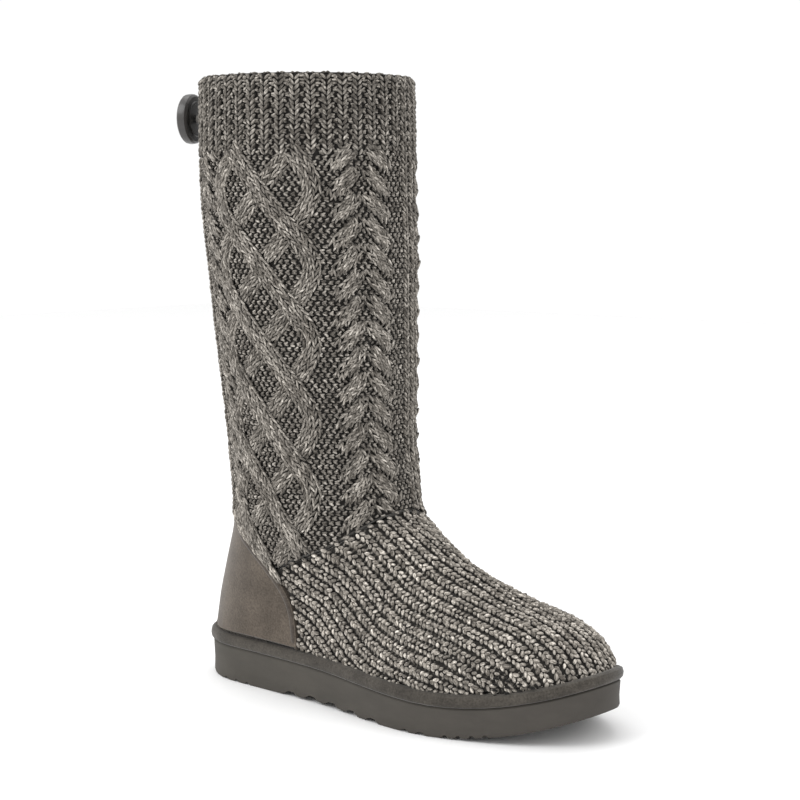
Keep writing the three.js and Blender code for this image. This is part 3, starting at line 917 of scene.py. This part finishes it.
# Leather, foam and thread
suedeLook = {
    "patchNoise": (4.0, 0.6), "nap": (900, 3.0, 0.7),
    "specks": ((0.3, (0.62, 0.61, 0.60)), (0.7, (1.38, 1.38, 1.38))),
    "bump": (0.25 * mm, 0.6),
    "Roughness": 0.92, "Sheen Weight": 0.22, "Sheen Roughness": 0.45, "Specular IOR Level": 0.25,
}
suedeColours = {
    "counterSuede": {"dark": (0.066, 0.053, 0.041), "light": (0.108, 0.088, 0.069), "patch": 45},
    "edgeSuede": {"dark": (0.052, 0.043, 0.036), "light": (0.090, 0.075, 0.062), "patch": 90},
    "weltSuede": {"dark": (0.034, 0.030, 0.025), "light": (0.071, 0.063, 0.053), "patch": 70},
}
foamLook = {
    "heel": (0.067, 0.061, 0.051), "toe": (0.055, 0.049, 0.042), "from": -0.13, "to": 0.14,
    "scuff": (38, 5.0, 0.65, (1, 1, 2.5)),
    "scuffs": ((0.3, (0.86, 0.86, 0.86)), (0.75, (1.12, 1.12, 1.12))),
    "pores": (1100, 2.0, 0.5), "bump": (0.12 * mm, 0.5), "Roughness": 0.72, "Specular IOR Level": 0.35,
}
threadLook = {"noise": (1600, 2.0), "stops": ((0.3, 0.6), (0.7, 1.3)), "bump": (0.2 * mm, 0.7),
              "Roughness": 0.8}


def suedeMaterial(name):
    material, tree, shader = newMaterial(name)
    place = objectPlace(tree)
    colours = suedeColours[name]
    patch = noiseNode(tree, place, colours["patch"], *suedeLook["patchNoise"])
    nap = noiseNode(tree, place, *suedeLook["nap"])
    colour = rampNode(tree, patch, ((0.3, colours["dark"]), (0.7, colours["light"])))
    speck = rampNode(tree, nap, suedeLook["specks"])
    finishShader(tree, shader, mixNode(tree, "MULTIPLY", 1.0, colour, speck), nap, suedeLook)
    return material


# The foam darkens a little from the heel to the toe
def foamMaterial():
    material, tree, shader = newMaterial("mouldedFoam")
    place = objectPlace(tree)
    split = tree.nodes.new("ShaderNodeSeparateXYZ")
    tree.links.new(place, split.inputs["Vector"])
    spread = rangeNode(tree, split.outputs["X"], foamLook["from"], foamLook["to"])
    colour = rampNode(tree, spread, ((0.0, foamLook["heel"]), (1.0, foamLook["toe"])))
    scuff = rampNode(tree, noiseNode(tree, place, *foamLook["scuff"]), foamLook["scuffs"])
    colour = mixNode(tree, "MULTIPLY", 1.0, colour, scuff)
    finishShader(tree, shader, colour, noiseNode(tree, place, *foamLook["pores"]), foamLook)
    return material


paleThread = grainyMaterial("paleThread", dict(threadLook, colour=(0.30, 0.285, 0.26)))
darkThread = grainyMaterial("darkThread", dict(threadLook, colour=(0.115, 0.103, 0.088)))


def dress(node, name, material, angle=40):
    piece = copyNode(node, name)
    piece.data.materials.append(material)
    pick(piece)
    bpy.ops.object.shade_smooth_by_angle(angle=math.radians(angle))
    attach(piece, body)
    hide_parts(node)
    return piece


dress("heel_counter", "counterPanel", suedeMaterial("counterSuede"))
dress("welt_wrap", "weltBand", suedeMaterial("weltSuede"))
dress("outsole", "cushionSole", foamMaterial(), 32)
dress("insole", "footbed", lining)
print("suede, welt and sole dressed")


# A closed band with an oval section along a lane
def sweepBand(name, lane, width, height, sink, material, slot, sides):
    turns = 2 * math.pi * np.arange(sides) / sides
    flat = np.stack([np.cos(turns) * width / 2, np.sin(turns) * height / 2 - sink], axis=1)
    count = len(lane["place"])
    points = (lane["place"][:, None] + lane["right"][:, None] * flat[None, :, :1]
              + lane["out"][:, None] * flat[None, :, 1:]).reshape(-1, 3)
    faces = []
    for i in range(count - 1):
        for j in range(sides):
            k, m = i + 1, (j + 1) % sides
            faces.append((i * sides + j, k * sides + j, k * sides + m, i * sides + m))
    faces.append(tuple(range(sides)))
    faces.append(tuple((count - 1) * sides + j for j in reversed(range(sides))))
    mesh = bpy.data.meshes.new(name)
    mesh.from_pydata([tuple(p) for p in points], [], faces)
    pick(addPiece(name, mesh, material))
    startEdit()
    bpy.ops.mesh.normals_make_consistent(inside=False)
    endEdit()
    bpy.ops.object.shade_smooth()


# Counter edge in the side view, in shares of foot length and heel height, as in the part's source
heelX, footLength, heelHeight = -130.4212 * mm, 272 * mm, 98 * mm
edgeTable = ((-0.1, 1.01), (0.132, 1.005), (0.156, 0.985), (0.184, 0.93), (0.216, 0.876), (0.244, 0.825),
             (0.267, 0.762), (0.29, 0.698), (0.31, 0.622), (0.323, 0.545), (0.33, 0.455), (0.335, 0.365),
             (0.337, 0.25), (0.339, -0.2))
edgePoints = np.array([(heelX + x * footLength, z * heelHeight) for x, z in edgeTable])
edgeLook = {
    "turns": (-250, -109, 2.0), "top": 135 * mm, "rows": 220,  # round the back, on the shaft map
    "low": 20 * mm, "join": 2 * mm, "step": -1.5 * mm, "ahead": -0.7 * mm, "far": 0.12,  # down the front
    "rounds": 4, "outRounds": 8,
}
bindingLook = {"pitch": 1.6 * mm, "width": 3.4 * mm, "height": 1.5 * mm, "inside": 1.6 * mm,
               "sink": 0.3 * mm, "overWelt": -2.5 * mm, "sides": 10}
cordLook = {"pitch": 3.9 * mm, "outside": -2.4 * mm, "low": 66 * mm, "gap": 1.5 * mm, "stagger": 1.9 * mm,
            "rise": 0.7 * mm, "yaw": 9.0, "dip": 3.0,
            "leg": (1.7 * mm, 6.4 * mm, 1.7 * mm), "bow": (0, 0.2 * mm)}


# Places where rays meet the upper, with the outward directions there
def upperHits(rays):
    hits = [upperTree.ray_cast(Vector(start), Vector(aim))[:2] for start, aim in rays]
    hits = [hit for hit in hits if hit[0] is not None]
    return np.array([place for place, _ in hits]), np.array([out for _, out in hits])


# Where columns of the shaft map cross the counter's edge
def crossingPath():
    path, normals = [], []
    heights = np.linspace(shaftMap["low"], edgeLook["top"], edgeLook["rows"])
    for degrees in np.arange(*edgeLook["turns"]):
        place, out = shaftPath(degrees, heights)
        above = place[:, 2] - np.interp(place[:, 0], *edgePoints.T)
        spots = np.where((above[:-1] < 0) & (above[1:] >= 0))[0]
        if len(spots):
            i = spots[0]
            share = -above[i] / (above[i + 1] - above[i])
            path.append(place[i] * (1 - share) + place[i + 1] * share)
            normals.append(out[i])
    return np.array(path), np.array(normals)


# The edge's steep front part on one side, from a height down
def sidePath(side, high):
    heights = np.arange(high, edgeLook["low"], edgeLook["step"])
    xs = np.interp(heights, edgePoints[::-1, 1], edgePoints[::-1, 0]) + edgeLook["ahead"]
    return upperHits(((x, side * edgeLook["far"], z), (0, -side, 0)) for x, z in zip(xs, heights))


def edgeLane(pitch):
    back, backOut = crossingPath()
    near, nearOut = sidePath(-1, back[-1][2] - edgeLook["join"])
    away, awayOut = sidePath(1, back[0][2] - edgeLook["join"])
    points = smoothLine(np.concatenate([away[::-1], back, near]), edgeLook["rounds"])
    normals = smoothLine(np.concatenate([awayOut[::-1], backOut, nearOut]), edgeLook["outRounds"])
    return laneFrom(points, unit(normals), pitch)


bindingLane = edgeLane(bindingLook["pitch"])
bindingLane = movedBy(bindingLane, bindingLane["right"] * bindingLook["inside"])
bindingLane = keep(bindingLane, aboveWelt(bindingLane["place"], bindingLook["overWelt"]))
sweepBand("counterBinding", bindingLane, bindingLook["width"], bindingLook["height"], bindingLook["sink"],
          suedeMaterial("edgeSuede"), "counter_suede", bindingLook["sides"])
print("counter binding made")


# Three rows of long stitches that follow the counter's edge
def addCord():
    cord = newBatch()
    lane = edgeLane(cordLook["pitch"])
    lane = movedBy(lane, lane["right"] * cordLook["outside"])
    lane = keep(lane, lane["place"][:, 2] > cordLook["low"])
    for column in (-1, 0, 1):
        moved = movedBy(lane, lane["along"] * (cordLook["stagger"] if column == 0 else 0))
        addAlong(cord, moved, column * cordLook["gap"], cordLook["rise"], cordLook["yaw"], cordLook["dip"])
    # the cord takes the brighter copy of the yarn, with its painted light
    joinGrains("edgeCord", cord, grainShape(6, 5, cordLook), litYarn)


addCord()


# Whip stitches where the counter meets the welt
whipLook = {
    "centre": (-0.059, 0, 0), "turns": (-262, -97, 2.0), "far": 0.15, "levels": (0.022, 0.042, 0.0004),
    "lowest": 0.02, "over": 1.3 * mm, "rounds": 4, "outRounds": 6, "pitch": 2.7 * mm, "rise": 0.35 * mm,
    "yaws": (118.0, 62.0), "leg": (0.8 * mm, 2.7 * mm, 0.8 * mm), "bow": (0, 0.15 * mm),
}


# A line on the upper just over the welt's top, found by level rays from outside
def weltTopPath():
    rays = []
    centre = np.array(whipLook["centre"])
    for turn in np.radians(np.arange(*whipLook["turns"])):
        aim = np.array((math.cos(turn), math.sin(turn), 0))
        top = whipLook["lowest"]
        for z in np.arange(*whipLook["levels"]):
            start = centre + whipLook["far"] * aim + np.array((0, 0, z))
            hit = rayFrom(partTrees["welt_wrap"], start, -aim)
            if hit is not None and np.dot(hit - centre, aim) > 0:  # not the welt's far side
                top = z
        rays.append((centre + whipLook["far"] * aim + np.array((0, 0, top + whipLook["over"])), -aim))
    path, normals = upperHits(rays)
    return smoothLine(path, whipLook["rounds"]), unit(smoothLine(normals, whipLook["outRounds"]))


whips = newBatch()
whipLane = laneFrom(*weltTopPath(), whipLook["pitch"])
whipLane = keep(whipLane, onPart(whipLane["place"], "heel_counter"))
whipYaw = np.where(np.arange(len(whipLane["place"])) % 2, whipLook["yaws"][1], whipLook["yaws"][0])
addAlong(whips, whipLane, 0.0, whipLook["rise"], whipYaw)
joinGrains("whipStitches", whips, grainShape(6, 5, whipLook), darkThread)


# Button of one dark plastic, its rim painted paler as a painted highlight and its face darker as painted
# shade, and the thread stem wound round its shank
buttonLook = {
    "radius": 14.5 * mm, "rimShare": 0.86, "smooth": 35,
    # face: the plastic's dark colour, darkened further as painted shade; the rim below is the same plastic
    # painted paler as a painted highlight
    "face": {"colour": (0.009, 0.008, 0.007), "Roughness": 0.45},
    "rim": {"colour": (0.036, 0.033, 0.031), "Roughness": 0.4},
    "turns": 5, "steps": 100, "stem": 3.0 * mm, "ring": 2.6 * mm, "pitch": 0.8 * mm,
    "thread": (1.2 * mm, 1.0 * mm), "sides": 8,
}
plasticLook = {"noise": (160, 3.0, 0.6), "stops": ((0.3, 0.75), (0.7, 1.25)), "relief": (900, 2.0),
               "bump": (0.05 * mm, 0.4), "Coat Weight": 0.15}


def middleOf(points):
    return (points.min(axis=0) + points.max(axis=0)) / 2


def makeButton():
    face = grainyMaterial("buttonShadedFace", {**plasticLook, **buttonLook["face"]})
    rim = grainyMaterial("buttonLitRim", {**plasticLook, **buttonLook["rim"]})
    piece = dress("button", "coatButton", face, buttonLook["smooth"])
    piece.data.materials.append(rim)
    points = pointsOf(piece)
    axis = np.linalg.svd(points - points.mean(axis=0))[2][2]
    for polygon in piece.data.polygons:
        away = np.array(polygon.center) - middleOf(points)
        radial = np.linalg.norm(away - axis * np.dot(away, axis))
        # faces near the edge take the rim's painted highlight
        polygon.material_index = 1 if radial > buttonLook["rimShare"] * buttonLook["radius"] else 0
    return axis


# The thread winds round the stem along the button's axis
def makeStem(axis):
    stem = dress("button_shank", "threadStem", paleThread)
    middle = middleOf(pointsOf(stem))
    side = np.array((-axis[1], axis[0], 0))
    side = side / np.linalg.norm(side)
    turns = np.linspace(0, 2 * math.pi * buttonLook["turns"], buttonLook["steps"])
    travel = np.linspace(-buttonLook["stem"], buttonLook["stem"], buttonLook["steps"])
    ring = np.cos(turns)[:, None] * side + np.sin(turns)[:, None] * np.cross(axis, side)
    line = middle + axis * travel[:, None] + ring * buttonLook["ring"]
    winding = laneFrom(line, ring, buttonLook["pitch"])
    sweepBand("threadWinding", winding, *buttonLook["thread"], 0, paleThread, "thread", buttonLook["sides"])


makeStem(makeButton())
print("button made")


# Stage
stageLook = {
    "floorSize": 6, "floorDrop": -0.0002, "floor": (0.93, 0.93, 0.93, 1), "matt": 0.9,
    "sky": (1, 1, 1, 1), "skyStrength": 1.02,
    "lights": {  # place, size, power, target
        "keyLight": ((-0.7, -1.6, 1.7), 1.4, 24, (0, 0, 0.15)),
        "fillLight": ((1.9, 0.2, 1.1), 1.4, 7, (0, 0, 0.15)),
        "topLight": ((-0.4, 0.5, 2.2), 1.6, 12, (0, 0, 0.2)),
    },
}


def makeStage():
    clearSelection()
    bpy.ops.mesh.primitive_plane_add(size=stageLook["floorSize"], location=(0, 0, stageLook["floorDrop"]))
    floor = bpy.context.object
    floor.name = "paleFloor"
    material, _, shader = newMaterial("paleFloor")
    shader.inputs["Base Color"].default_value = stageLook["floor"]
    shader.inputs["Roughness"].default_value = stageLook["matt"]
    floor.data.materials.append(material)
    for name, (place, size, power, target) in stageLook["lights"].items():
        bpy.ops.object.light_add(type="AREA", location=place, rotation=turnTo(place, target))
        light = bpy.context.object
        light.name = name
        light.data.size = size
        light.data.energy = power
    world = bpy.data.worlds.new("paleRoom")
    world.use_nodes = True
    background = world.node_tree.nodes["Background"]
    background.inputs["Color"].default_value = stageLook["sky"]
    background.inputs["Strength"].default_value = stageLook["skyStrength"]
    bpy.context.scene.world = world
    bpy.context.scene.view_settings.view_transform = "Standard"


makeStage()
print("floor and lights placed")
